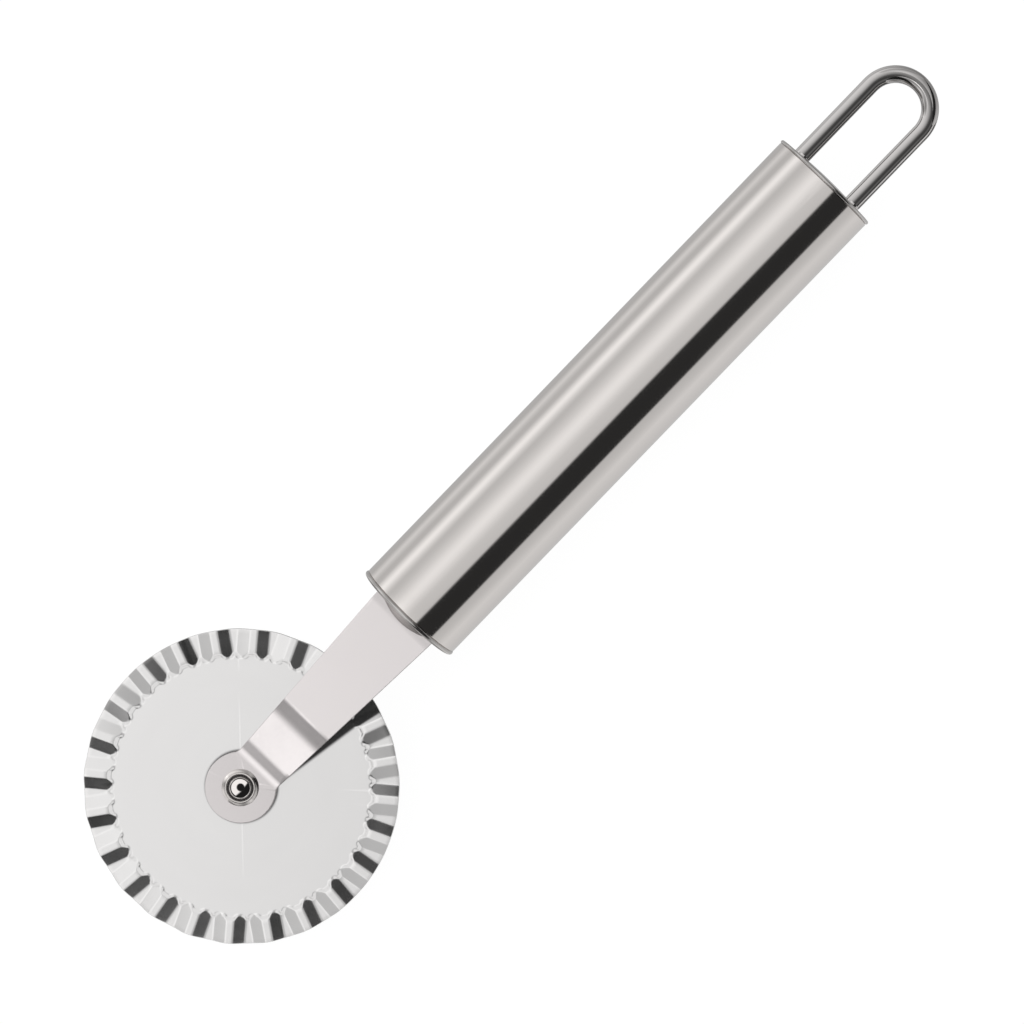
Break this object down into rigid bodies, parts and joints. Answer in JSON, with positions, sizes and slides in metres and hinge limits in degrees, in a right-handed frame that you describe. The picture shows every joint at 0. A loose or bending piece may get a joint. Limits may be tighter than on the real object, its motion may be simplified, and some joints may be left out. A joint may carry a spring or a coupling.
{
  "type": "pastry cutter wheel",
  "caption": "Hand tool with a fluted sheet-steel wheel turning on a riveted axle in a two-leaf fork, on a round hollow handle with a wire hanging loop.",
  "frame": {"origin": "middle of the grip, on the handle tube's axis", "axes": "+X along the handle, from the wheel towards the hanging loop; +Z along the wheel's axle, towards the front leaf; +Y across the handle in the wheel's plane"},
  "size_m": [0.1952, 0.0544, 0.0204],
  "materials": {
    "wheel_steel": "satin sheet with polished flutes",
    "fork_steel": "satin sheet",
    "axle_steel": "satin, turned",
    "rivet_steel": "mirror polished dome",
    "cap_steel": "polished pressing",
    "tube_steel": "polished along its length, fine draw lines",
    "loop_steel": "bright drawn wire"
  },
  "bodies": {
    "handle": {"hub_bush": "axle_steel", "front_hub_washer": "axle_steel", "rear_hub_washer": "axle_steel", "axle_rivet": "rivet_steel", "front_rivet_washer": "axle_steel", "rear_rivet_washer": "axle_steel", "front_fork_leaf": "fork_steel", "rear_fork_leaf": "fork_steel", "front_cap": "cap_steel", "handle_tube": "tube_steel", "rear_cap": "cap_steel", "hanging_loop": "loop_steel"},
    "wheel": {"cutter_wheel": "wheel_steel"}
  },
  "joints": [
    {"name": "wheel_spin", "type": "hinge", "parent": "handle", "child": "wheel", "pos_m": [-0.0927, 0, 0], "axis": [0, 0, 1], "continuous": true}
  ]
}
